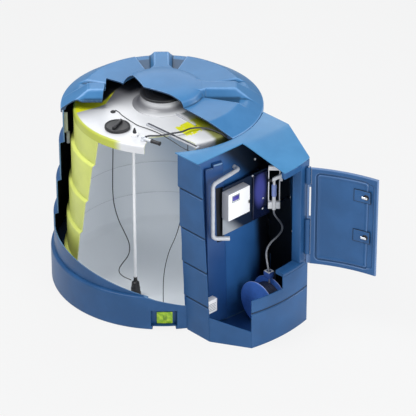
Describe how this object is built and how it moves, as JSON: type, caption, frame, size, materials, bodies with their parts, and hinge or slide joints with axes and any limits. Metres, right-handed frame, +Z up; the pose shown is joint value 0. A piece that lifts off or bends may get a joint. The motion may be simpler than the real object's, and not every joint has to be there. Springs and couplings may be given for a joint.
{
  "type": "diesel exhaust fluid tank",
  "caption": "Bunded fluid tank shown cut open: ribbed lid, stepped outer bund, inner tank with pump, and a dispensing cabinet with curved door, hose reel and nozzle.",
  "frame": {"origin": "on the tank's vertical axis, at the underside of the base", "axes": "+Z up, the dispensing cabinet towards -Y, the door's hinge side towards +X"},
  "size_m": [2.31, 3.542, 2.205],
  "materials": {
    "bund_blue": "satin blue rotomoulded polyethylene",
    "tank_yellow": "satin yellow-green rotomoulded polyethylene",
    "deck_white": "off-white moulded plastic",
    "fitting_black": "black moulded plastic",
    "fitting_white": "white moulded plastic",
    "bracket_grey": "grey painted steel",
    "reel_blue": "gloss blue enamel",
    "steel": "brushed",
    "smoked_cover": "dark tinted, glossy"
  },
  "bodies": {
    "tank": {"bund_base": "bund_blue", "bund_wall_cut_edge": "bund_blue", "bund_wall_1": "bund_blue", "bund_wall_2": "bund_blue", "bund_wall_3": "bund_blue", "bund_wall_4": "bund_blue", "bund_lid": "bund_blue", "sight_pocket": "bund_blue", "cabinet_left_flank": "bund_blue", "cabinet_right_flank": "bund_blue", "cabinet_left_chamfer": "bund_blue", "cabinet_right_chamfer": "bund_blue", "cabinet_front_left": "bund_blue", "cabinet_front_right": "bund_blue", "door_sill": "bund_blue", "door_jamb": "bund_blue", "door_header": "bund_blue", "cabinet_top": "bund_blue", "cabinet_floor": "bund_blue", "compartment_wall": "bund_blue", "wall_duct": "bund_blue", "inner_tank_wall_1": "tank_yellow", "inner_tank_wall_2": "tank_yellow", "inner_tank_wall_3": "tank_yellow", "inner_tank_wall_4": "tank_yellow", "inner_tank_wall_5": "tank_yellow", "sight_panel": "tank_yellow", "inner_tank_floor": "deck_white", "inner_tank_top": "deck_white", "manway_neck": "deck_white", "level_panel": "deck_white", "manway_cover": "fitting_black", "screw_cap": "fitting_black", "suction_valve": "fitting_black", "lift_pump": "fitting_black", "pump_cable": "fitting_black", "probe_cable": "fitting_black", "deck_cable": "fitting_black", "deck_hose": "fitting_black", "deck_vent": "fitting_white", "riser_pipe": "fitting_white", "controller_box": "fitting_white", "return_pipe": "fitting_white", "socket_box": "fitting_white", "nozzle_holster": "fitting_white", "nozzle": "fitting_white", "level_bracket": "bracket_grey", "mounting_plate": "bracket_grey", "reel_bracket": "bracket_grey", "delivery_hose": "bracket_grey", "hose_guide": "reel_blue", "hinge_pin": "steel", "instrument_cover": "smoked_cover"},
    "door": {"door_panel": "bund_blue", "latch_plate_lower": "bund_blue", "latch_plate_upper": "bund_blue"},
    "lower_latch": {"latch_cam_lower": "steel"},
    "upper_latch": {"latch_cam_upper": "steel"},
    "reel": {"reel_drum": "reel_blue", "wound_hose": "fitting_black"}
  },
  "joints": [
    {"name": "door_hinge", "type": "hinge", "parent": "tank", "child": "door", "pos_m": [0.335, -1.73, 1.255], "axis": [0, 0, 1], "range_deg": [-116, 10]},
    {"name": "reel_spin", "type": "hinge", "parent": "tank", "child": "reel", "pos_m": [0.03, -1.44, 0.265], "axis": [1, 0, 0], "continuous": true},
    {"name": "lower_latch_turn", "type": "hinge", "parent": "door", "child": "lower_latch", "pos_m": [0.58341, -2.27509, 1.127], "axis": [-0.955, -0.2966, 0], "range_deg": [0, 90]},
    {"name": "upper_latch_turn", "type": "hinge", "parent": "door", "child": "upper_latch", "pos_m": [0.58341, -2.27509, 1.577], "axis": [-0.955, -0.2966, 0], "range_deg": [0, 90]}
  ]
}
